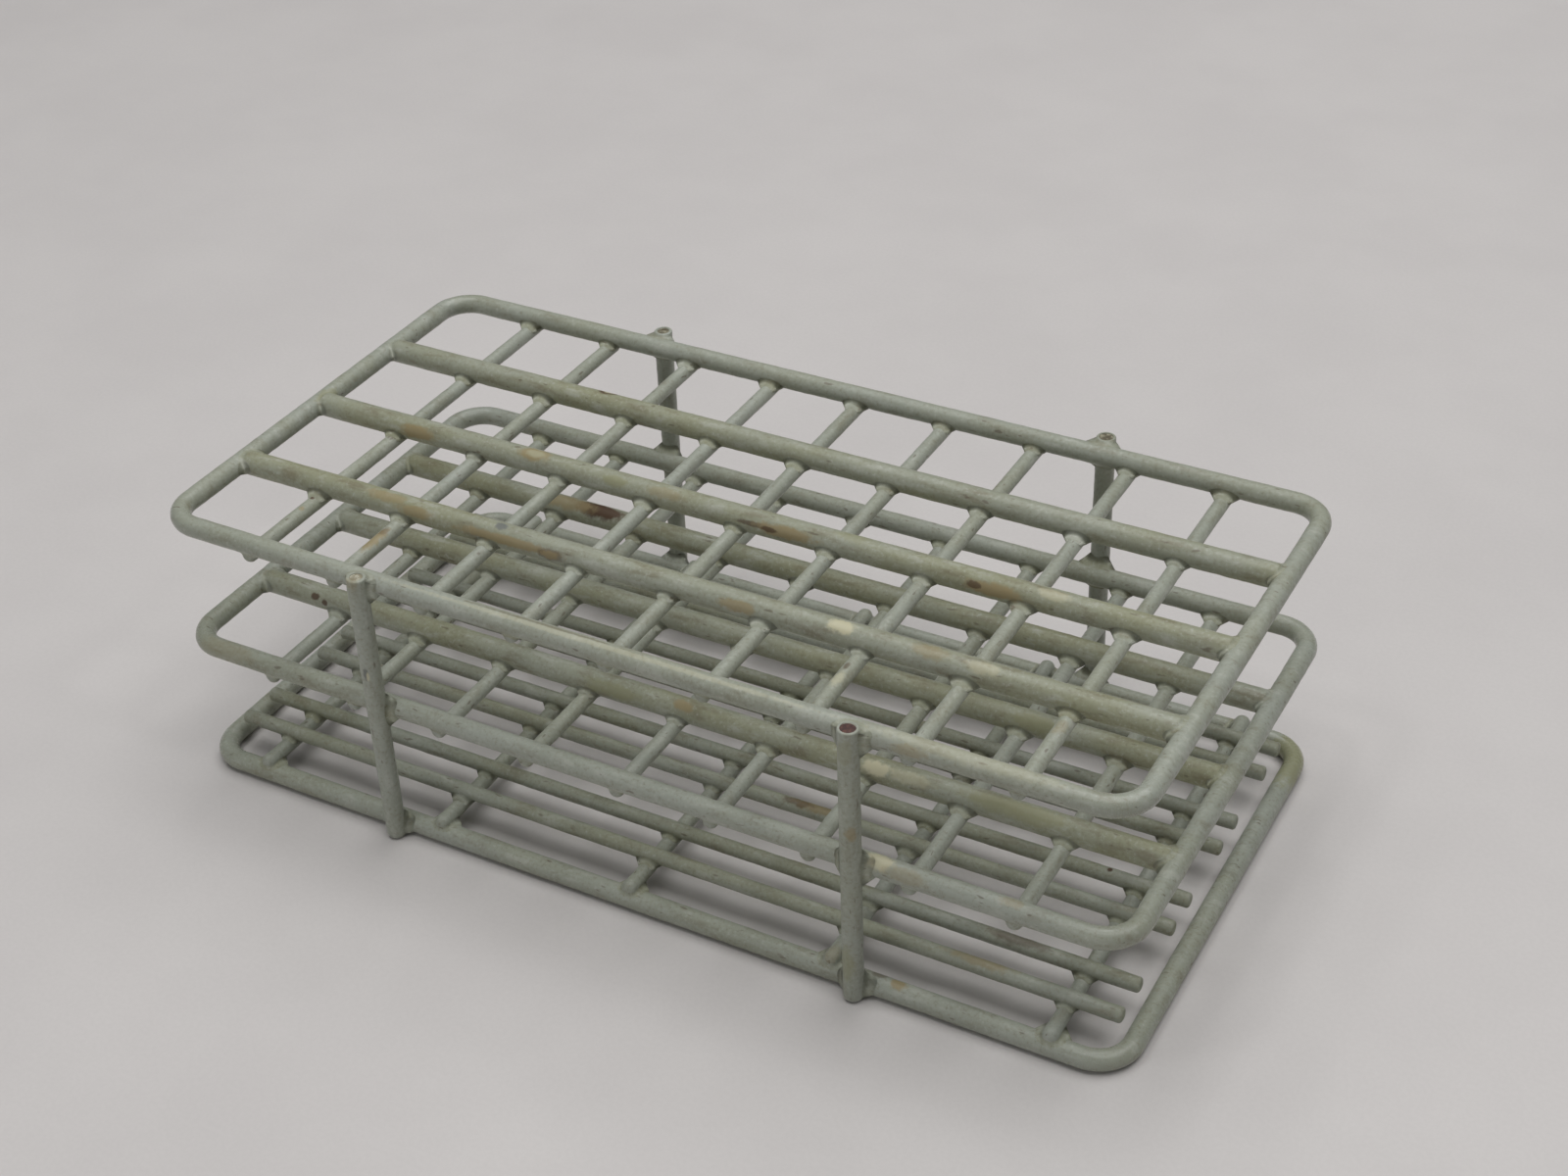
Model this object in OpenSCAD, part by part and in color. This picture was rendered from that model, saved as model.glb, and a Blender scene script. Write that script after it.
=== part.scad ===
// Wire rack for test tubes: three welded wire shelves, one above the other, on four straight legs.
// Millimetres. The rack stands on z = 0, centred on the origin, with its long side along X.
// Each wire is drawn at its coated size, and each weld is a saddle where one wire sits into the next.

/* [Tube places] */
// Places along the rack
columns = 10; // [8:1:12]
// Places across the rack
rows = 4; // [2:1:5]
// Distance from one cross wire to the next
column_pitch = 24.4; // [22:0.1:30]
// Distance from the last cross wire to the frame at each end
end_pitch = 24.9; // [22:0.1:30]
// Distance from one row of tubes to the next
row_pitch = 30.25; // [22:0.25:36]
// Distance from one long bar to the next
bar_pitch = 30.7; // [22:0.1:36]
// How far the long bars sit off the middle, across the rack
bar_shift = -0.9; // [-2:0.1:2]

/* [Shelves] */
// Height from one shelf to the next
shelf_pitch = 35.25; // [25:0.25:50]
// Radius of the frame's corners, along the middle of the wire
corner_r = 8.5; // [6:0.5:14]
// How far a cross wire's ends run past the middle of the frame wire
cross_overhang = 1.5; // [0:0.1:1.5]

/* [Wire] */
// Frame wire
frame_d = 5; // [4.6:0.1:6]
// Long bars inside the upper frames
bar_d = 6; // [4:0.1:6]
// Thin wires: cross wires and the base's tube rests
thin_d = 3.7; // [3:0.1:4]
// Legs
leg_d = 4.8; // [4:0.1:5]
// How deep a thin wire sits into a thick one
thin_weld = 1.45; // [0.5:0.05:1.6]
// How deep a long bar's ends sit into the frame
bar_weld = 1; // [0.5:0.05:1.6]
// How deep a tube rest sits into the cross wires under it
rest_weld = 1; // [0.5:0.05:1.4]
// How deep a leg sits into the frames
leg_weld = 1.3; // [0.5:0.05:1.6]

/* [Legs] */
// Length of a leg
leg_len = 76.2; // [74:0.1:140]
// Distance between the two legs of one side
leg_span = 124.6; // [80:0.1:150]
// How far the front pair stands off the middle, along the rack
front_leg_shift = -1.2; // [-5:0.1:5]
// How far the back pair stands off the middle, along the rack
back_leg_shift = 3; // [-5:0.1:5]

/* [Base] */
// Cross wires on the bottom frame
base_cross_wires = 5; // [2:1:7]
// Distance from the frame's end to the first of them
base_cross_inset = 16.9; // [12:0.1:30]
// How far that row of cross wires sits off the middle
base_cross_shift = 1; // [-3:0.1:3]
// Distance between the two tube rests under one row of tubes
rest_spread = 10.2; // [8:0.1:14]
// Gap between the ends of the tube rests and the frame
rest_gap = 0.8; // [0.5:0.1:5]

/* [Hidden] */
$fn = 48;
coat = "#a9b4a5";

frame_len = (columns - 2) * column_pitch + 2 * end_pitch;
frame_depth = rows * row_pitch;
shelf_z = [for (i = [0:2]) frame_d / 2 + i * shelf_pitch];
cross_drop = (frame_d + thin_d) / 2 - thin_weld;
rest_z = shelf_z[0] + cross_drop + thin_d - rest_weld;
rest_len = frame_len - frame_d - 2 * rest_gap;
bar_len = frame_len - frame_d + 2 * bar_weld;
leg_y = frame_depth / 2 + (frame_d + leg_d) / 2 - leg_weld;
base_cross_pitch = (frame_len - 2 * base_cross_inset) / (base_cross_wires - 1);

shelves = ["middle", "top"];
sides = ["front", "back"];
ends = ["left", "right"];

// Centres, along X or Y, of the members that repeat; i counts from 1.
function bar_y(i) = (i - rows / 2) * bar_pitch + bar_shift;
function cross_x(i) = (i - columns / 2) * column_pitch;
function base_cross_x(i) = base_cross_shift - frame_len / 2 + base_cross_inset + (i - 1) * base_cross_pitch;
function rest_y(i) =
    (ceil(i / 2) - (rows + 1) / 2) * row_pitch + (i % 2 == 1 ? -1 : 1) * rest_spread / 2;

// Straight wire along X, centred on x = 0.
module wire_x(len, d, y, z)
    translate([-len / 2, y, z]) rotate([0, 90, 0]) cylinder(h = len, d = d);

// Straight wire along Y, centred on y = 0.
module wire_y(len, d, x, z)
    translate([x, len / 2, z]) rotate([90, 0, 0]) cylinder(h = len, d = d);

// The frame's two long sides, drawn whole: what the cross wires and legs are welded to.
module long_sides(z)
    for (side = [-1, 1]) wire_x(frame_len, frame_d, side * frame_depth / 2, z);

// One corner bend of a frame, a quarter turn.
module corner_bend()
    rotate_extrude(angle = 90) translate([corner_r, 0]) circle(d = frame_d);

// Frame: one thick wire bent into a rectangle with round corners, its ends butted and welded.
module frame(z) color(coat) {
    straight_x = frame_len - 2 * corner_r;
    straight_y = frame_depth - 2 * corner_r;
    for (side = [-1, 1]) {
        wire_x(straight_x, frame_d, side * frame_depth / 2, z);
        wire_y(straight_y, frame_d, side * frame_len / 2, z);
    }
    for (turn = [0:3]) {
        sx = turn == 0 || turn == 3 ? 1 : -1;
        sy = turn < 2 ? 1 : -1;
        translate([sx * straight_x / 2, sy * straight_y / 2, z]) rotate([0, 0, 90 * turn]) corner_bend();
    }
}

// Long bar between two rows of tubes, its ends hollowed to butt the frame's short sides.
module long_bar(i, z) color(coat) difference() {
    wire_x(bar_len, bar_d, bar_y(i), z);
    for (side = [-1, 1]) wire_y(frame_depth, frame_d, side * frame_len / 2, z);
}

// Cross wire under a shelf, saddled where it passes the frame and the long bars.
module cross_wire(i, z) color(coat) difference() {
    wire_y(frame_depth + 2 * cross_overhang, thin_d, cross_x(i), z - cross_drop);
    long_sides(z);
    for (b = [1:rows - 1]) wire_x(bar_len, bar_d, bar_y(b), z);
}

// Cross wire on top of the bottom frame.
module base_cross_wire(i) color(coat) difference() {
    wire_y(frame_depth + 2 * cross_overhang, thin_d, base_cross_x(i), shelf_z[0] + cross_drop);
    long_sides(shelf_z[0]);
}

// Tube rest: a long thin wire on the base's cross wires, one of a pair that a row of tubes stands on.
module tube_rest(i) color(coat) difference() {
    wire_x(rest_len, thin_d, rest_y(i), rest_z);
    for (c = [1:base_cross_wires])
        wire_y(frame_depth, thin_d, base_cross_x(c), shelf_z[0] + cross_drop);
}

// Leg: a straight wire welded to the outside of all three frames.
module leg(side, end) color(coat) {
    shift = side == 0 ? front_leg_shift : back_leg_shift;
    difference() {
        translate([shift + (end - 0.5) * leg_span, (2 * side - 1) * leg_y, 0]) cylinder(h = leg_len, d = leg_d);
        for (z = shelf_z) long_sides(z);
    }
}

frame(shelf_z[0]);  // base_frame
frame(shelf_z[1]);  // middle_frame
frame(shelf_z[2]);  // top_frame
for (s = [0:1]) {
    z = shelf_z[s + 1];
    for (i = [1:rows - 1])
        long_bar(i, z);
    for (i = [1:columns - 1])
        cross_wire(i, z);
}
for (i = [1:base_cross_wires])
    base_cross_wire(i);
for (i = [1:2 * rows])
    tube_rest(i);
for (side = [0:1], end = [0:1])
    leg(side, end);
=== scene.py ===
import math

import bmesh
import bpy
import numpy as np
from mathutils import Matrix, Vector


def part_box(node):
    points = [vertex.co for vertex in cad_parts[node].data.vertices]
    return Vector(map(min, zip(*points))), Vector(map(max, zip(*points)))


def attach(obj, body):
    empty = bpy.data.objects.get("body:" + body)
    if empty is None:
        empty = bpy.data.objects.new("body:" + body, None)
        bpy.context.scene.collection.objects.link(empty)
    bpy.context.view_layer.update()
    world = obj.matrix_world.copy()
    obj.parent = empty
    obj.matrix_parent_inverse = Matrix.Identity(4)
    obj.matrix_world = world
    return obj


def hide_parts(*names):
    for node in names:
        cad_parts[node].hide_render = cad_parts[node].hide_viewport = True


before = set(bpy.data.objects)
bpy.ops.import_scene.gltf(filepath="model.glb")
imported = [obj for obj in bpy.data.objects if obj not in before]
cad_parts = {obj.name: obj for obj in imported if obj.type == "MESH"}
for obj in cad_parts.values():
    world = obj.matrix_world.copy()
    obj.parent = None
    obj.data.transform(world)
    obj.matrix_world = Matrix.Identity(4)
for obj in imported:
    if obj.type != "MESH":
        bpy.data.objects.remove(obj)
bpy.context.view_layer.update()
scene = bpy.context.scene
mm = 0.001


# ---- Camera ----
# A hand-held camera above the rack's front right corner, looking down into the shelves.
# It is tipped a little clockwise, as a hand holds it.
camera_aim = Vector((-1.6, 21.6, 38)) * mm
camera_distance = 599.4 * mm
camera_side = math.radians(29.77)
camera_rise = math.radians(34.86)
camera_roll = math.radians(2.29)

camera_data = bpy.data.cameras.new("camera")
camera_data.sensor_width = 36
camera_data.lens = 55.24
camera = bpy.data.objects.new("camera", camera_data)
scene.collection.objects.link(camera)
scene.camera = camera
to_camera = Vector((
    math.sin(camera_side) * math.cos(camera_rise),
    -math.cos(camera_side) * math.cos(camera_rise),
    math.sin(camera_rise),
))
camera_turn = to_camera.to_track_quat("Z", "Y").to_matrix() @ Matrix.Rotation(-camera_roll, 3, "Z")
camera.matrix_world = Matrix.Translation(camera_aim + camera_distance * to_camera) @ camera_turn.to_4x4()


# ---- Bent frames ----
# The three shelves' outlines: 5 mm steel wire bent into a rectangle with round corners, its ends
# butted and welded. The finished rack was dipped, so a sage green plastic coat, satin and a little
# uneven, covers all of it. The bends stay glossy, and the rest is dulled, yellowed and stained; a
# thin pale cream line along the top of the top front rail is a painted highlight.
class Socket:
    """An output in a node tree. Sums and products of it add Math nodes, and node() adds any other."""

    def __init__(self, tree, output=None):
        self.tree = tree
        self.output = output

    def node(self, kind, settings=None, inputs=None, out=0):
        made = self.tree.nodes.new(kind)
        for name, value in (settings or {}).items():
            setattr(made, name, value)
        for name, value in (inputs or {}).items():
            if isinstance(value, Socket):
                self.tree.links.new(value.output, made.inputs[name])
            elif value is not None:
                made.inputs[name].default_value = value
        return Socket(self.tree, made.outputs[out])

    def math(self, operation, *values):
        return self.node("ShaderNodeMath", {"operation": operation}, dict(enumerate(values)))

    def vector(self, operation, *values, **inputs):
        numbered = dict(enumerate(values))
        out = "Value" if operation in ("LENGTH", "DISTANCE", "DOT_PRODUCT") else "Vector"
        return self.node("ShaderNodeVectorMath", {"operation": operation}, {**numbered, **inputs}, out)

    def noise(self, scale, detail=2.0, rough=0.5):
        """Noise on this vector, with its middle at 0.5; scale is in lumps a metre."""
        inputs = {"Vector": self, "Scale": scale, "Detail": detail, "Roughness": rough}
        return self.node("ShaderNodeTexNoise", None, inputs)

    def ramp(self, low, high, at_low=0.0, at_high=1.0):
        """This value eased from at_low, where it is low, to at_high, where it is high."""
        inputs = {"Value": self, "From Min": low, "From Max": high, "To Min": at_low, "To Max": at_high}
        return self.node("ShaderNodeMapRange", {"interpolation_type": "SMOOTHSTEP"}, inputs)

    def tinted(self, share, colour):
        """This colour with a share of another one over it."""
        other = colour if isinstance(colour, Socket) else (*colour, 1)
        return self.node("ShaderNodeMix", {"data_type": "RGBA"}, {0: share, 6: self, 7: other}, 2)

    def __add__(self, other):
        return self.math("ADD", self, other)

    def __sub__(self, other):
        return self.math("SUBTRACT", self, other)

    def __rsub__(self, other):
        return self.math("SUBTRACT", other, self)

    def __mul__(self, other):
        return self.math("MULTIPLY", self, other)

    def __truediv__(self, other):
        return self.math("DIVIDE", self, other)

    __radd__ = __add__
    __rmul__ = __mul__


def tree_with(name, sockets):
    """A Geometry Nodes tree with these named inputs, as {name: (socket type, default)}."""
    tree = bpy.data.node_groups.new(name, "GeometryNodeTree")
    tree.interface.new_socket(name="Geometry", in_out="OUTPUT", socket_type="NodeSocketGeometry")
    for label, (socket_type, default) in sockets.items():
        made = tree.interface.new_socket(name=label, in_out="INPUT", socket_type="NodeSocket" + socket_type)
        if default is not None:
            made.default_value = default
    group_in = tree.nodes.new("NodeGroupInput")
    return tree, {label: Socket(tree, group_in.outputs[label]) for label in sockets}


def end_tree(tree, geometry, unevenness, coat):
    """Ends a tree: real geometry with the coat's slight unevenness, smooth shading and its material."""
    geometry = geometry.node("GeometryNodeRealizeInstances", None, {"Geometry": geometry})
    place = geometry.node("GeometryNodeInputPosition")
    out = geometry.node("GeometryNodeInputNormal")
    swell = (place.noise(120.0) - 0.5) * 0.9 + (place.noise(420.0) - 0.5) * 0.8
    push = out.vector("SCALE", out, Scale=swell * unevenness)
    geometry = geometry.node("GeometryNodeSetPosition", None, {"Geometry": geometry, "Offset": push})
    geometry = geometry.node("GeometryNodeSetShadeSmooth", None, {"Geometry": geometry})
    geometry = geometry.node("GeometryNodeSetMaterial", None, {"Geometry": geometry, "Material": coat})
    group_out = tree.nodes.new("NodeGroupOutput")
    tree.links.new(geometry.output, group_out.inputs["Geometry"])


def grown(name, tree, values, mesh=None):
    """The plain mesh that a tree makes with these input values, as a new piece."""
    piece = bpy.data.objects.new(name, mesh or bpy.data.meshes.new(name))
    scene.collection.objects.link(piece)
    modifier = piece.modifiers.new("grow", "NODES")
    modifier.node_group = tree
    for item in tree.interface.items_tree:
        if item.in_out == "INPUT" and item.name in values:
            modifier[item.identifier] = values[item.name]
    plain = bpy.data.meshes.new_from_object(piece.evaluated_get(bpy.context.evaluated_depsgraph_get()))
    piece.modifiers.clear()
    piece.data = plain
    plain.name = name
    return piece


def belongs(piece, slot, *nodes):
    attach(piece, "root")
    if nodes:
        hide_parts(*nodes)


sage = (0.345, 0.371, 0.325)
sage_light = (0.41, 0.44, 0.405)
olive_film = (0.285, 0.285, 0.165)
dust_grey = (0.50, 0.51, 0.45)
speck_brown = (0.16, 0.13, 0.07)
rust_brown = (0.085, 0.045, 0.022)
tan = (0.315, 0.25, 0.125)
cream = (0.57, 0.54, 0.37)
pit_grey = (0.17, 0.18, 0.165)
clean_olive = (0.40, 0.385, 0.25)


def worn_coat(name, along, film, spots, glossy_bends=False):
    """The sage coat on wires that run along one way, with this much olive film and these spots.

    A spot is its place and its reach each way in millimetres, its colour and how strong it is.
    """
    material = bpy.data.materials.new(name)
    material.use_nodes = True
    tree = material.node_tree
    shader = tree.nodes["Principled BSDF"]
    place = Socket(tree).node("ShaderNodeTexCoord", None, None, "Object")
    drawn_out = place.vector("MULTIPLY", place, tuple(0.3 if k == along else 1.0 for k in range(3)))
    cloud = drawn_out.noise(70.0, 4.0, 0.6)
    blotch = drawn_out.noise(330.0, 3.0, 0.6)
    mottle = place.noise(1150.0, 2.0, 0.6)
    ragged = place.noise(480.0, 3.0, 0.65)

    tone = place.noise(26.0).ramp(0.3, 0.7, 0.0, 0.75)
    two_sages = {0: tone, 6: (*sage, 1), 7: (*sage_light, 1)}
    colour = tone.node("ShaderNodeMix", {"data_type": "RGBA"}, two_sages, 2)
    colour = colour.tinted(cloud.ramp(0.36, 0.66, film * 0.5, film), olive_film)
    colour = colour.tinted(blotch.ramp(0.5, 0.75, 0.0, 0.55 * film + 0.1), speck_brown)
    colour = colour.tinted(blotch.ramp(0.28, 0.46, 0.45, 0.0), dust_grey)
    colour = colour.tinted(mottle.ramp(0.5, 0.78, 0.0, 0.34), speck_brown)
    colour = colour.tinted(mottle.ramp(0.25, 0.45, 0.4, 0.0), dust_grey)
    colour = colour.tinted(drawn_out.noise(900.0, 1.0).ramp(0.70, 0.78, 0.0, 0.5), rust_brown)
    for where, reach, stain, strength in spots:
        away = place.vector("SUBTRACT", place, tuple(v * mm for v in where))
        away = away.vector("DIVIDE", away, tuple(v * mm for v in reach))
        far = away.vector("LENGTH", away) + (ragged - 0.5) * 1.1
        colour = colour.tinted(far.ramp(0.55, 1.05, strength, 0.0), stain)
    tree.links.new(colour.output, shader.inputs["Base Color"])

    rough = 0.34 + cloud.ramp(0.3, 0.7, 0.0, 0.16) + mottle.ramp(0.3, 0.7, -0.05, 0.07)
    if glossy_bends:
        split = place.node("ShaderNodeSeparateXYZ", None, {0: place})
        x_axis = Socket(tree, split.output.node.outputs["X"])
        y_axis = Socket(tree, split.output.node.outputs["Y"])
        past_x = x_axis.math("ABSOLUTE", x_axis) - bend_start_x
        past_y = y_axis.math("ABSOLUTE", y_axis) - bend_start_y
        in_bend = past_x.math("MINIMUM", past_x, past_y).ramp(-6 * mm, 3 * mm)
        rough = rough - in_bend * 0.16
    tree.links.new(rough.output, shader.inputs["Roughness"])
    height = place.noise(650.0, 2.0) * 0.7 + mottle * 0.3
    bump = height.node("ShaderNodeBump", None, {"Strength": 0.55, "Distance": 0.12 * mm, "Height": height})
    tree.links.new(bump.output, shader.inputs["Normal"])
    shader.inputs["Specular IOR Level"].default_value = 0.42
    return material


unevenness = 0.2 * mm
ring_gap = 0.9 * mm
bend_radius = 8.5 * mm
bend_points = 16
frame_sides = 32
frame_low, frame_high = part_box("top_frame")
frame_wire = frame_high.z - frame_low.z
end_x = frame_high.x - frame_wire / 2
side_y = frame_high.y - frame_wire / 2
bend_start_x = end_x - bend_radius
bend_start_y = side_y - bend_radius

bent_wire, given = tree_with("bent wire frame", {
    "Length": ("Float", 0.2),
    "Depth": ("Float", 0.1),
    "Height": ("Float", 0.0),
    "Bend Radius": ("Float", 0.01),
    "Wire Diameter": ("Float", 0.005),
    "Ring Gap": ("Float", 0.001),
    "Unevenness": ("Float", 0.0),
    "Coat": ("Material", None),
})
outline = given["Length"].node(
    "GeometryNodeCurvePrimitiveQuadrilateral", None, {"Width": given["Length"], "Height": given["Depth"]}
)
outline = outline.node(
    "GeometryNodeFilletCurve", {"mode": "POLY"},
    {"Curve": outline, "Count": bend_points, "Radius": given["Bend Radius"]},
)
outline = outline.node(
    "GeometryNodeResampleCurve", {"mode": "LENGTH"}, {"Curve": outline, "Length": given["Ring Gap"]}
)
lift = outline.node("ShaderNodeCombineXYZ", None, {"Z": given["Height"]})
outline = outline.node("GeometryNodeSetPosition", None, {"Geometry": outline, "Offset": lift})
section = outline.node(
    "GeometryNodeCurvePrimitiveCircle", None,
    {"Resolution": frame_sides, "Radius": given["Wire Diameter"] * 0.5},
)
swept = outline.node("GeometryNodeCurveToMesh", None, {"Curve": outline, "Profile Curve": section})
end_tree(bent_wire, swept, given["Unevenness"], given["Coat"])

frame_spots = [
    # The first spot, a thin pale cream line along the top of the top front rail, is a painted highlight.
    ((0, -61.2, 75.4), (64, 0.8, 0.7), cream, 0.3),
    ((-16, -60.2, 75.6), (26, 0.5, 0.6), speck_brown, 0.5),
    ((86, -60.6, 75.0), (26, 2.6, 2.0), cream, 0.25),
    ((74, -62.5, 73.6), (5, 1.6, 1.6), tan, 0.45),
    ((-121, 0, 74.6), (2.5, 4.5, 2.0), olive_film, 0.6),
    ((66, -61.2, 39.8), (4.5, 2.4, 2.2), cream, 0.9),
    ((73, -62.3, 39), (6, 2.0, 2.0), tan, 0.35),
    ((97, -60.7, 40.1), (3.5, 1.6, 1.6), tan, 0.4),
    ((70.5, -60.6, 4.8), (2.6, 1.7, 1.5), tan, 0.85),
    ((65.5, -59.4, 4.9), (2.4, 1.6, 1.2), rust_brown, 0.5),
    ((122, 54, 3.5), (9, 14, 5), olive_film, 0.8),
    ((-110, -61.5, 39), (10, 3, 3), tan, 0.25),
]
frame_coat = worn_coat("frame coat", 0, 0.42, frame_spots, glossy_bends=True)
for shelf in ("base", "middle", "top"):
    low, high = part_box(shelf + "_frame")
    piece = grown(shelf + "_frame_wire", bent_wire, {
        "Length": 2 * end_x,
        "Depth": 2 * side_y,
        "Height": (low.z + high.z) / 2,
        "Bend Radius": bend_radius,
        "Wire Diameter": frame_wire,
        "Ring Gap": ring_gap,
        "Unevenness": unevenness,
        "Coat": frame_coat,
    })
    belongs(piece, "frame_coat", shelf + "_frame")


# ---- Long bars ----
# Three straight 6 mm wires inside each upper frame, butted against its short sides and welded, so
# the tubes stand in four rows. They carry most of the yellow and brown staining.
straight_wire, given = tree_with("straight coated wire", {
    "Start": ("Vector", None),
    "End": ("Vector", None),
    "Wire Diameter": ("Float", 0.004),
    "End Rounding": ("Float", 0.001),
    "End Swell": ("Float", 0.0),
    "Rings": ("Int", 100),
    "Unevenness": ("Float", 0.0),
    "Coat": ("Material", None),
})
end_rings = 7
wire_sides = 28
swell_reach = 5.5 * mm
index = given["Start"].node("GeometryNodeInputIndex")
rings = given["Rings"]
rounding = given["End Rounding"]
radius = given["Wire Diameter"] * 0.5
from_start = index.math("MINIMUM", index * (math.pi / 2 / end_rings), math.pi / 2)
from_end = index.math("MINIMUM", (rings - 1 - index) * (math.pi / 2 / end_rings), math.pi / 2)
along = (index - end_rings) / (rings - 1 - 2 * end_rings)
along = along.node("ShaderNodeClamp", None, {"Value": along})
way = given["End"].vector("SUBTRACT", given["End"], given["Start"])
length = way.vector("LENGTH", way)
reach = rounding * (1 - from_start.math("COSINE", from_start)) + (length - 2 * rounding) * along
reach = reach + rounding * from_end.math("COSINE", from_end)
near_end = reach.math("MINIMUM", reach, length - reach).ramp(1.5 * mm, swell_reach, 1.0, 0.0)
girth = radius - rounding * (2 - from_start.math("SINE", from_start) - from_end.math("SINE", from_end))
girth = girth * (1 + near_end * given["End Swell"])
line = way.node("GeometryNodeCurvePrimitiveLine", None, {"Start": given["Start"], "End": given["End"]})
line = line.node("GeometryNodeResampleCurve", None, {"Curve": line, "Count": rings})
spot = way.vector("ADD", given["Start"], way.vector("SCALE", way, Scale=reach / length))
line = line.node("GeometryNodeSetPosition", None, {"Geometry": line, "Position": spot})
section = line.node("GeometryNodeCurvePrimitiveCircle", None, {"Resolution": wire_sides, "Radius": 1.0})
swept = line.node(
    "GeometryNodeCurveToMesh", None,
    {"Curve": line, "Profile Curve": section, "Scale": girth, "Fill Caps": True},
)
end_tree(straight_wire, swept, given["Unevenness"], given["Coat"])


def numbered(prefix):
    """The CAD nodes whose names are this prefix and a number, in order."""
    names = [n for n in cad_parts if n.startswith(prefix) and n[len(prefix):].isdigit()]
    return sorted(names, key=lambda n: int(n[len(prefix):]))


def straight(node, slot, coat, rounding, swell=0.0):
    """The coated wire that stands for a straight CAD wire, along the longest side of its box."""
    low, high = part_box(node)
    sides = high - low
    axis = max(range(3), key=lambda k: sides[k])
    thick = max(sides[k] for k in range(3) if k != axis)
    start = (low + high) / 2
    end = start.copy()
    start[axis] = low[axis]
    end[axis] = high[axis]
    piece = grown(node + "_wire", straight_wire, {
        "Start": start,
        "End": end,
        "Wire Diameter": thick,
        "End Rounding": rounding,
        "End Swell": swell,
        "Rings": round(sides[axis] / ring_gap) + 2 * end_rings,
        "Unevenness": unevenness,
        "Coat": coat,
    })
    belongs(piece, slot, node)


def on_bar(shelf, number, along, turn, reach, across, stain, strength):
    """A spot this far along a long bar, turned this many degrees from its top towards the back."""
    low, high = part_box(f"{shelf}_bar_{number}")
    middle = (low + high) / 2 / mm
    radius = (high.z - low.z) / 2 / mm
    lean = math.radians(turn)
    where = (along, middle.y + radius * math.sin(lean), middle.z + radius * math.cos(lean))
    return where, (reach, across, across), stain, strength


bar_spots = [
    on_bar("top", 3, -55.5, 30, 3.4, 1.8, rust_brown, 0.95),
    on_bar("top", 3, -55.5, 30, 1.9, 1.1, clean_olive, 0.85),
    on_bar("top", 2, -56.5, -15, 5.2, 2.4, tan, 0.85),
    on_bar("top", 2, -56, -15, 3.2, 1.4, clean_olive, 0.8),
    on_bar("top", 2, -90, -70, 6.5, 2.1, tan, 0.9),
    on_bar("top", 2, -33, -45, 4, 1.7, olive_film, 0.8),
    on_bar("top", 2, -19, -40, 6, 1.7, tan, 0.4),
    on_bar("top", 2, 6, -70, 6, 0.8, rust_brown, 0.7),
    on_bar("top", 2, 13.5, -70, 9.5, 1.8, tan, 0.9),
    on_bar("top", 2, 9.5, -75, 2.5, 0.8, rust_brown, 0.8),
    on_bar("top", 2, 66.5, -75, 8, 2.1, tan, 0.95),
    on_bar("top", 2, 61.5, -70, 2, 1, rust_brown, 0.75),
    on_bar("top", 2, 80, -20, 4.5, 1.7, cream, 0.5),
    on_bar("top", 2, 30, 0, 5, 2, olive_film, 0.5),
    on_bar("top", 1, -78, -25, 6, 1.8, tan, 0.65),
    on_bar("top", 1, -69, -60, 6, 1.8, tan, 0.75),
    on_bar("top", 1, -43, -70, 17, 1.4, tan, 0.85),
    on_bar("top", 1, -31, -80, 4.2, 1.8, rust_brown, 0.5),
    on_bar("top", 1, -31, -80, 2.7, 1.2, tan, 0.8),
    on_bar("top", 1, -45.5, -10, 2.1, 1.4, pit_grey, 0.95),
    on_bar("top", 1, 18.5, -65, 5.5, 1.8, tan, 0.75),
    on_bar("top", 1, 43.5, -20, 3.8, 2.2, cream, 0.95),
    on_bar("top", 1, 64.5, -20, 5, 2.3, tan, 0.5),
    on_bar("top", 1, 77, -25, 5, 1.9, cream, 0.5),
    on_bar("middle", 3, -60, -20, 9, 2.9, rust_brown, 0.97),
    on_bar("middle", 3, -70, -25, 10, 2.6, tan, 0.7),
    on_bar("middle", 2, 77, -45, 7, 2.5, olive_film, 0.8),
    on_bar("middle", 1, -104.5, -60, 1.4, 1.1, rust_brown, 0.9),
    on_bar("middle", 1, -101.5, -75, 1, 1, rust_brown, 0.9),
    on_bar("middle", 1, 1.5, -35, 3, 1.7, tan, 0.8),
    on_bar("middle", 1, 52, -45, 4.4, 2.2, cream, 0.95),
    on_bar("middle", 1, 60, -45, 7, 2, cream, 0.45),
    on_bar("middle", 1, -18, -65, 9, 2.3, olive_film, 0.7),
    on_bar("middle", 1, 86, -35, 16, 2.6, olive_film, 0.8),
]
bar_coat = worn_coat("bar coat", 0, 0.85, bar_spots)
bar_rounding = 0.9 * mm
for shelf in ("middle", "top"):
    for node in numbered(shelf + "_bar_"):
        straight(node, "bar_coat", bar_coat, bar_rounding)


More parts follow.
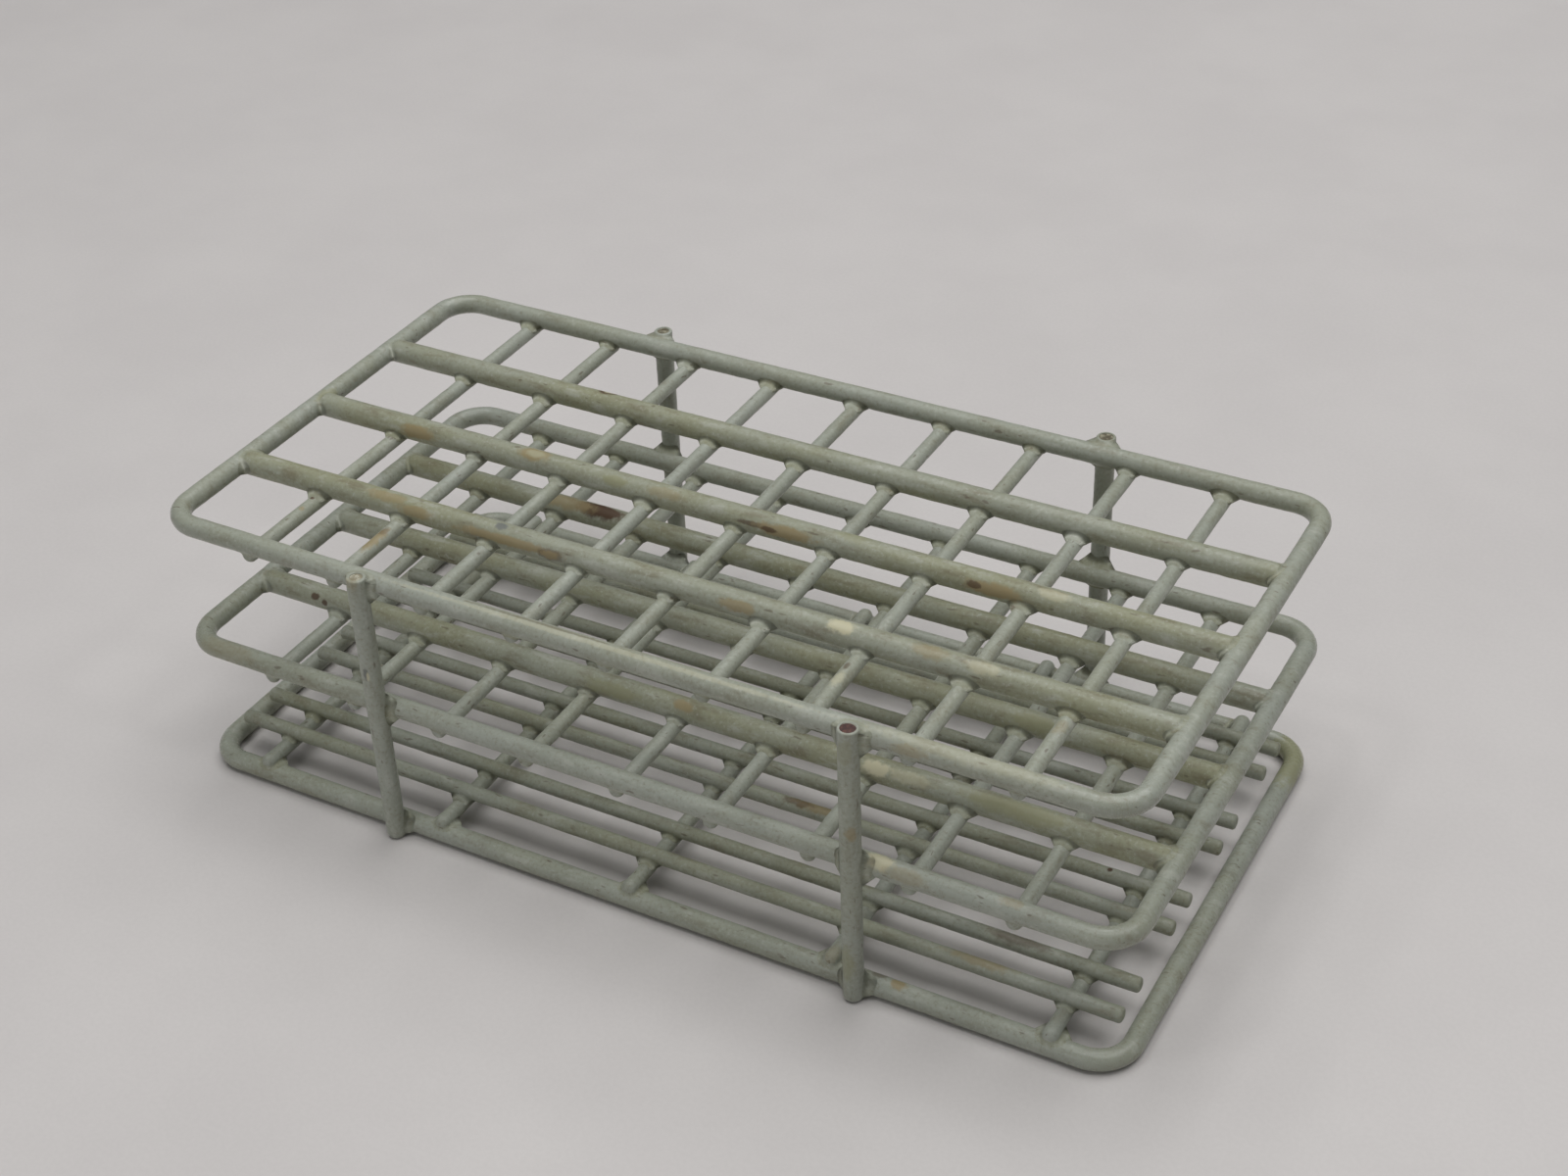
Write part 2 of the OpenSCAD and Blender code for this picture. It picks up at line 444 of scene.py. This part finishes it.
# ---- Cross wires under the upper shelves ----
# Nine straight 3.7 mm wires under each upper shelf, spot-welded to the frame and to the bars. They
# part the rows into tube places, and their cut ends stick out a little past the frame.
thin_rounding = 1.3 * mm
thin_spots = [
    ((-73.2, -44.5, 71.3), (1.6, 6.5, 1.8), tan, 0.85),
    ((-73.2, -41, 71.6), (1.2, 2.0, 1.2), rust_brown, 0.4),
    ((-97.6, -36.6, 71.7), (0.7, 0.8, 0.9), rust_brown, 0.9),
    ((-97.2, -41.5, 71.3), (0.9, 1.2, 1.0), tan, 0.7),
    ((48.6, -40.6, 71.6), (0.8, 2.0, 0.9), rust_brown, 0.6),
    ((48.8, -45, 71.4), (1.5, 3.5, 1.5), cream, 0.5),
    ((97.6, -40, 71.4), (1.5, 3.5, 1.5), tan, 0.35),
    ((106.6, -61.6, 8.2), (0.75, 0.8, 0.9), rust_brown, 1.0),
    ((53.8, -61, 7), (2, 4, 2), tan, 0.3),
    ((99.6, -10.1, 9.8), (0.8, 0.8, 0.8), rust_brown, 1.0),
    ((-16.3, -38.6, 9.8), (0.9, 0.8, 0.9), rust_brown, 0.95),
    ((29, -20.3, 9.6), (8, 1.9, 1.9), tan, 0.75),
    ((24, -20.4, 9.7), (5, 1.4, 1.4), rust_brown, 0.6),
    ((90.5, -40.4, 9.6), (9, 1.9, 1.9), rust_brown, 0.5),
    ((86, -50.4, 9.6), (10, 1.9, 1.9), tan, 0.55),
]
thin_coat = worn_coat("thin wire coat", 1, 0.38, thin_spots)
for shelf in ("middle", "top"):
    for node in numbered(shelf + "_cross_wire_"):
        straight(node, "thin_wire_coat", thin_coat, thin_rounding)


# ---- Cross wires of the base ----
# Five 3.7 mm wires laid across the bottom frame and welded on top of it. The dip coat has gathered
# into a glossy bulb on each end.
bulb_rounding = 1.7 * mm
bulb_swell = 0.1
for node in numbered("base_cross_wire_"):
    straight(node, "thin_wire_coat", thin_coat, bulb_rounding, swell=bulb_swell)


# ---- Tube rests ----
# Eight 3.7 mm wires along the base, two under each row, that the tubes' round bottoms stand on. They
# are welded to the base's cross wires, and their ends stop just short of the frame.
rest_coat = worn_coat("tube rest coat", 0, 0.6, thin_spots[7:])
rest_rounding = 0.7 * mm
for node in numbered("tube_rest_"):
    straight(node, "thin_wire_coat", rest_coat, rest_rounding)


# ---- Legs ----
# Four straight 4.8 mm wires welded to the outside of all three frames. Their tops are sheared flat,
# where the coat has come off the rusted steel, and the coat is rounded over at the foot.
turned_wire, given = tree_with("coat over a turned shape", {
    "Shape": ("Geometry", None),
    "Unevenness": ("Float", 0.0),
    "Coat": ("Material", None),
})
end_tree(turned_wire, given["Shape"], given["Unevenness"], given["Coat"])


def lathe(name, axis_x, axis_y, outline, around=32):
    """A closed turned mesh about an upright axis, from (radius, height) pairs, bottom first."""
    rows = []
    for radius, height in outline:
        for k in range(around):
            turn = 2 * math.pi * k / around
            rows.append((axis_x + radius * math.cos(turn), axis_y + radius * math.sin(turn), height))
    last = len(rows) - around
    faces = [list(range(around))[::-1], list(range(last, last + around))]
    for start in range(0, last, around):
        for k in range(around):
            after = (k + 1) % around
            faces.append((start + k, start + after, start + around + after, start + around + k))
    mesh = bpy.data.meshes.new(name)
    mesh.from_pydata(rows, [], faces)
    return mesh


def arc(radius, height, bend, start, end, steps=6):
    """Points round a bend whose middle is at this radius and height, between two angles in degrees."""
    turns = [math.radians(start + (end - start) * k / steps) for k in range(steps + 1)]
    return [(radius + bend * math.cos(t), height + bend * math.sin(t)) for t in turns]


def steel_end(name, rust, pale, patch_scale):
    """Bare cut steel gone to rust: two browns in patches, rough all over."""
    material = bpy.data.materials.new(name)
    material.use_nodes = True
    tree = material.node_tree
    shader = tree.nodes["Principled BSDF"]
    place = Socket(tree).node("ShaderNodeTexCoord", None, None, "Object")
    patch = place.noise(patch_scale, 3.0, 0.6)
    colour = place.node("ShaderNodeRGB")
    colour.output.default_value = (*rust, 1)
    colour = colour.tinted(patch.ramp(0.42, 0.62), pale)
    tree.links.new(colour.output, shader.inputs["Base Color"])
    tree.links.new(patch.ramp(0.3, 0.7, 0.5, 0.75).output, shader.inputs["Roughness"])
    bump = patch.node("ShaderNodeBump", None, {"Strength": 0.8, "Distance": 0.2 * mm, "Height": patch})
    tree.links.new(bump.output, shader.inputs["Normal"])
    return material


leg_spots = [
    ((-63.5, -66.3, 75.5), (2.6, 1.6, 2.2), tan, 0.3),
    ((-63.2, -66.5, 50.5), (0.9, 0.7, 2.0), pit_grey, 0.9),
    ((-62.7, -66.5, 49.8), (0.5, 0.6, 1.4), cream, 0.8),
    ((62.6, -66.2, 49.4), (2.0, 1.2, 2.4), tan, 0.6),
    ((60.5, -66.4, 12), (2.5, 1.5, 6), olive_film, 0.6),
    ((61.1, -66.3, 71), (2.6, 1.4, 4), olive_film, 0.4),
]
leg_coat = worn_coat("leg coat", 2, 0.36, leg_spots)
foot_round = 1.5 * mm
rim_round = 0.45 * mm
lip_round = 0.12 * mm
sink = 0.22 * mm
hollow = 0.15 * mm
outline_start = 0.3 * mm
disc_start = 0.2 * mm
disc_depth = 0.6 * mm
disc_overlap = 1.03
cut_unevenness = 0.3 * mm
maroon = (0.055, 0.022, 0.018), (0.13, 0.06, 0.045)
worn_end = (0.27, 0.24, 0.16), (0.52, 0.5, 0.4)
dark_end = (0.10, 0.085, 0.05), (0.33, 0.31, 0.22)
cut_ends = {"leg_front_left": (1.5, worn_end), "leg_front_right": (1.78, maroon),
            "leg_back_left": (1.6, dark_end), "leg_back_right": (1.75, dark_end)}
for node, (bare, browns) in cut_ends.items():
    low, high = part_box(node)
    leg_radius = (high.x - low.x) / 2
    bare *= mm
    axis_x = (low.x + high.x) / 2
    axis_y = high.y - leg_radius if low.y > 0 else low.y + leg_radius
    outline = [(outline_start, low.z)] + arc(leg_radius - foot_round, low.z + foot_round, foot_round, -90, 0)
    rise = high.z - low.z - foot_round - rim_round
    steps = round(rise / ring_gap)
    outline += [(leg_radius, low.z + foot_round + rise * k / steps) for k in range(1, steps)]
    outline += arc(leg_radius - rim_round, high.z - rim_round, rim_round, 0, 90)
    outline += arc(bare + lip_round, high.z - lip_round, lip_round, 90, 180, 3)
    bottom = high.z - sink - hollow
    outline += [(bare, high.z - sink), (bare * 0.6, bottom), (outline_start, bottom)]
    piece = grown(node + "_wire", turned_wire, {"Unevenness": unevenness, "Coat": leg_coat},
                  lathe(node, axis_x, axis_y, outline))
    belongs(piece, "leg_coat", node)
    rim = bare * disc_overlap
    disc = [(disc_start, high.z - disc_depth), (rim, high.z - disc_depth), (rim, high.z - sink)]
    disc += [(bare * (0.95 - 0.15 * k), high.z - sink + 0.012 * k * mm) for k in range(6)]
    piece = grown(node + "_cut_end", turned_wire, {
        "Unevenness": cut_unevenness, "Coat": steel_end(node + " cut end", *browns, 900.0),
    }, lathe(node + "_cut_end", axis_x, axis_y, disc))
    belongs(piece, "leg_coat")


# ---- Coat in the weld creases ----
# Where two wires are welded, the dip coat has run into the crease and bridged it with a round
# fillet, or a fat one where a leg meets a frame. Each is the ring that a ball rolled round the
# crossing would leave.
x_way, y_way, z_way = np.eye(3)
through = 1.0  # metres, longer than any wire here, for one that runs on past a weld
feather = ((0.45, 0.04), (0.9, 0.16), (1.1, 0.6))  # mm along a wire from the fillet, and mm sunk into it
solver_rounds = 60


def core(wire, points):
    """The nearest points of a wire's core, which lies one end rounding below its surface."""
    base, axis, low, high, radius, rounding = wire
    offset = points - base
    along = offset @ axis
    across = offset - along[:, None] * axis
    far = np.maximum(np.linalg.norm(across, axis=1, keepdims=True), 1e-9)
    across *= np.minimum(1, (radius - rounding) / far)
    along = np.clip(along, low + rounding, high - rounding)
    return base + along[:, None] * axis + across


def away_from(wire, points):
    """How far points are from a wire's surface, and the way straight out of it."""
    away = points - core(wire, points)
    far = np.linalg.norm(away, axis=1)
    return far - wire[5], away / far[:, None]


def rolled(first, second, up, ball, turns):
    """Where a ball resting on both wires has its middle at each turn, and its ways out of each wire."""
    sides = [np.roll(up, 1), np.roll(up, 2)]
    out = np.outer(np.cos(turns), sides[0]) + np.outer(np.sin(turns), sides[1])
    reach = np.full(len(turns), 1.3 * (first[4] + ball))
    apart = float((second[0] - first[0]) @ up)
    rise = np.full(len(turns), apart * 0.2 if apart else first[4] + ball)
    step = 0.3 * mm
    for _ in range(solver_rounds):
        middle = reach[:, None] * out + np.outer(rise, up)
        (gap_a, slope_a), (gap_b, slope_b) = away_from(first, middle), away_from(second, middle)
        a, b = (slope_a * out).sum(1), slope_a @ up
        c, d = (slope_b * out).sum(1), slope_b @ up
        size = a * d - b * c
        size = np.where(np.abs(size) < 0.05, 0.05 * np.sign(size + 1e-12), size)
        reach -= np.clip((d * (gap_a - ball) - b * (gap_b - ball)) / size, -step, step)
        rise -= np.clip((a * (gap_b - ball) - c * (gap_a - ball)) / size, -step, step)
    return middle, slope_a, slope_b


def weld_ring(name, first, second, up, ball, around=48, across=6):
    """A closed ring of coat in the crease between two wires; up joins their middles."""
    turns = np.linspace(0, 2 * math.pi, 145)
    middle, slope_a, slope_b = rolled(first, second, up, ball, turns)
    moved = sum(np.linalg.norm(np.diff(way, axis=0), axis=1) for way in (middle / ball, slope_a, slope_b))
    run = np.concatenate([[0], np.cumsum(moved)])
    turns = np.interp(np.linspace(0, run[-1], around, endpoint=False), run, turns)
    middle, slope_a, slope_b = rolled(first, second, up, ball, turns)
    spread = (slope_a * slope_b).sum(1)
    angle = np.arccos(np.clip(spread, -1, 1))
    rows = []
    for k in range(across + 1):
        share = k / across
        mix = np.sin((1 - share) * angle) / np.sin(angle), np.sin(share * angle) / np.sin(angle)
        rows.append(middle - ball * (mix[0][:, None] * slope_a + mix[1][:, None] * slope_b))
    for wire, mine, other in ((second, slope_b, slope_a), (first, slope_a, slope_b)):
        aside = other - spread[:, None] * mine
        aside /= np.linalg.norm(aside, axis=1)[:, None]
        edge = rows[-1]
        for run, depth in feather:
            beyond = edge + aside * run * mm
            gap, slope = away_from(wire, beyond)
            rows.append(beyond - slope * (gap + depth * mm)[:, None])
        rows.reverse()
    count = len(rows)
    faces = [
        (r * around + k, r * around + (k + 1) % around,
         (r + 1) % count * around + (k + 1) % around, (r + 1) % count * around + k)
        for r in range(count) for k in range(around)
    ]
    mesh = bpy.data.meshes.new(name)
    mesh.from_pydata(np.concatenate(rows).tolist(), [], faces)
    shell = bmesh.new()
    shell.from_mesh(mesh)
    bmesh.ops.recalc_face_normals(shell, faces=shell.faces)
    shell.to_mesh(mesh)
    shell.free()
    return bpy.data.objects.new(name, mesh)


weld_rings, given = tree_with("weld rings", {
    "Places": ("Geometry", None),
    "Rings": ("Collection", None),
    "Turn": ("Float", 0.0),
    "Seed": ("Int", 0),
    "Unevenness": ("Float", 0.0),
    "Coat": ("Material", None),
})
rings_in = {"Collection": given["Rings"], "Separate Children": True, "Reset Children": True}
kinds = given["Rings"].node("GeometryNodeCollectionInfo", None, rings_in)
pick = kinds.node("FunctionNodeRandomValue", {"data_type": "INT"}, {4: 0, 5: 2, "Seed": given["Seed"]}, 2)
turned = kinds.node("ShaderNodeCombineXYZ", None, {"Z": given["Turn"]})
placed = kinds.node("GeometryNodeInstanceOnPoints", None, {
    "Points": given["Places"],
    "Instance": kinds,
    "Pick Instance": True,
    "Instance Index": pick,
    "Rotation": turned,
})
end_tree(weld_rings, placed, given["Unevenness"], given["Coat"])

# Its spots take in the frame's, so welds along the top front rail also get the painted highlight line.
weld_coat = worn_coat("weld coat", 0, 0.7, frame_spots + bar_spots)


def middle_of(node):
    low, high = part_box(node)
    return (low + high) / 2


def weld_kind(name, places, turn, balls, first, second, up, seed):
    """One kind of weld at all its places, each ring from one of three ball sizes in millimetres."""
    variants = bpy.data.collections.new(name)
    for k, ball in enumerate(balls):
        variants.objects.link(weld_ring(name + str(k), first, second, up, ball * mm))
    points = bpy.data.meshes.new(name)
    points.from_pydata([tuple(place) for place in places], [], [])
    return grown(name, weld_rings, {
        "Rings": variants, "Turn": turn, "Seed": seed, "Unevenness": unevenness, "Coat": weld_coat,
    }, points)


def joined(name, slot, parts):
    """One piece from several."""
    shell = bmesh.new()
    for part in parts:
        shell.from_mesh(part.data)
        bpy.data.objects.remove(part)
    mesh = bpy.data.meshes.new(name)
    shell.to_mesh(mesh)
    shell.free()
    mesh.materials.append(weld_coat)
    piece = bpy.data.objects.new(name, mesh)
    scene.collection.objects.link(piece)
    belongs(piece, slot)


origin = np.zeros(3)
thin = (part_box("base_cross_wire_1")[1].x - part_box("base_cross_wire_1")[0].x) / 2
bar_low, bar_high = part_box("top_bar_1")
bar_radius = (bar_high.z - bar_low.z) / 2
rail = frame_wire / 2
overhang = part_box("top_cross_wire_1")[1].y - side_y
cross_x = [middle_of(n).x for n in numbered("top_cross_wire_")]
bar_y = [middle_of(n).y for n in numbered("top_bar_")]
base_x = [middle_of(n).x for n in numbered("base_cross_wire_")]
base_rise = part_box("base_cross_wire_1")[1].z - thin - middle_of("base_frame").z
rest_y = [middle_of(n).y for n in numbered("tube_rest_")]
rest_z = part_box("tube_rest_1")[1].z - thin
leg_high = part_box("leg_back_left")[1]
leg_out = leg_high.y - leg_radius - side_y
leg_top = leg_high.z
small_balls = (0.9, 1.1, 1.4)
fat_balls = (1.3, 1.6, 2.0)
end_balls = (1.0, 1.2, 1.5)
rest_balls = (0.7, 0.9, 1.2)
blunt = 0.1 * mm
side_wire = (origin, x_way, -through, through, rail, rail)
sides_and_turns = ((1, 0.0), (-1, math.pi))

for shelf in ("base", "middle", "top"):
    level = middle_of(shelf + "_frame").z
    parts = []
    foot = max(-through, -level)
    head = min(through, leg_top - level)
    for side, turn in sides_and_turns:
        where = "back" if side > 0 else "front"
        legs_x = [middle_of(f"leg_{where}_{end}").x for end in ("left", "right")]
        leg_from = foot if shelf == "base" else -through
        leg_to = head if shelf == "top" else through
        leg_rounding = rim_round if shelf == "top" else foot_round
        leg_wire = (leg_out * y_way, z_way, leg_from, leg_to, leg_radius, leg_rounding)
        parts.append(weld_kind(shelf + where + " leg", [(x, side * side_y, level) for x in legs_x], turn,
                               fat_balls, side_wire, leg_wire, y_way, 5))
        if shelf == "base":
            end_wire = (base_rise * z_way, y_way, -through, overhang, thin, thin - blunt)
            parts.append(weld_kind(where + " base", [(x, side * side_y, level) for x in base_x], turn,
                                   fat_balls, side_wire, end_wire, z_way, 4))
            continue
        below = ((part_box(shelf + "_cross_wire_1")[0].z + thin) - level) * z_way
        nub = (below, y_way, -through, overhang, thin, thin_rounding)
        parts.append(weld_kind(shelf + where + " side", [(x, side * side_y, level) for x in cross_x], turn,
                               small_balls, side_wire, nub, z_way, 2))
        short_side = (origin, y_way, -through, through, rail, rail)
        bar_end = (origin, -x_way, end_x - bar_high.x, through, bar_radius, bar_rounding)
        parts.append(weld_kind(shelf + where + " end", [(side * end_x, y, level) for y in bar_y], turn,
                               end_balls, short_side, bar_end, -x_way, 3))
    if shelf == "base":
        cross_wire = (origin, y_way, -through, through, thin, thin)
        rest = ((rest_z - level - base_rise) * z_way, x_way, -through, through, thin, thin)
        parts.append(weld_kind("rest", [(x, y, level + base_rise) for x in base_x for y in rest_y], 0.0,
                               rest_balls, cross_wire, rest, z_way, 6))
    else:
        bar = (origin, x_way, -through, through, bar_radius, bar_radius)
        under = (below, y_way, -through, through, thin, thin)
        parts.append(weld_kind(shelf + " bar", [(x, y, level) for x in cross_x for y in bar_y], 0.0,
                               small_balls, bar, under, z_way, 1))
    joined(shelf + "_welds", "frame_coat", parts)


# ---- Studio ----
# A plain pale floor with the faintest cloudiness, one big soft light overhead, a weak wide one from
# the front, and two small ones for the glints on the bends.
floor_half = 2.0
floor_mesh = bpy.data.meshes.new("floor")
corners = [(-1, -1), (1, -1), (1, 1), (-1, 1)]
floor_mesh.from_pydata([(x * floor_half, y * floor_half, 0) for x, y in corners], [], [(0, 1, 2, 3)])
floor_material = bpy.data.materials.new("floor")
floor_material.use_nodes = True
floor_shader = floor_material.node_tree.nodes["Principled BSDF"]
floor_place = Socket(floor_material.node_tree).node("ShaderNodeTexCoord", None, None, "Object")
floor_cloud = floor_place.noise(14.0, 4.0, 0.6).ramp(0.3, 0.7)
floor_colour = floor_cloud.node("ShaderNodeMix", {"data_type": "RGBA"}, {
    0: floor_cloud, 6: (0.625, 0.597, 0.583, 1), 7: (0.655, 0.627, 0.611, 1),
}, 2)
floor_grain = floor_place.noise(900.0, 2.0).ramp(0.3, 0.7)
floor_colour = floor_colour.tinted(floor_grain * 0.06, (0.4, 0.38, 0.37))
floor_material.node_tree.links.new(floor_colour.output, floor_shader.inputs["Base Color"])
floor_shader.inputs["Roughness"].default_value = 0.6
floor_mesh.materials.append(floor_material)
floor = bpy.data.objects.new("floor", floor_mesh)
scene.collection.objects.link(floor)


def area_light(name, place, aim, size, watts, colour=(1, 1, 1)):
    data = bpy.data.lights.new(name, "AREA")
    data.size = size
    data.energy = watts
    data.color = colour
    light = bpy.data.objects.new(name, data)
    light.location = place
    light.rotation_mode = "QUATERNION"
    light.rotation_quaternion = (Vector(place) - Vector(aim)).to_track_quat("Z", "Y")
    scene.collection.objects.link(light)


area_light("ceiling", (0.1, 0.4, 2.0), (0, 0, 0), 2.1, 38)
area_light("front fill", (-0.5, -1.5, 0.7), (0, 0, 0.04), 1.2, 4.5)
area_light("front glint", (-0.35, -0.5, 1.7), (0, 0, 0), 0.16, 1.2)
area_light("right glint", (1.1, -0.1, 1.5), (0, 0, 0), 0.16, 1.5)
world = bpy.data.worlds.new("room")
world.use_nodes = True
world.node_tree.nodes["Background"].inputs["Color"].default_value = (0.9, 0.93, 1, 1)
world.node_tree.nodes["Background"].inputs["Strength"].default_value = 0.08
scene.world = world
scene.view_settings.view_transform = "Standard"
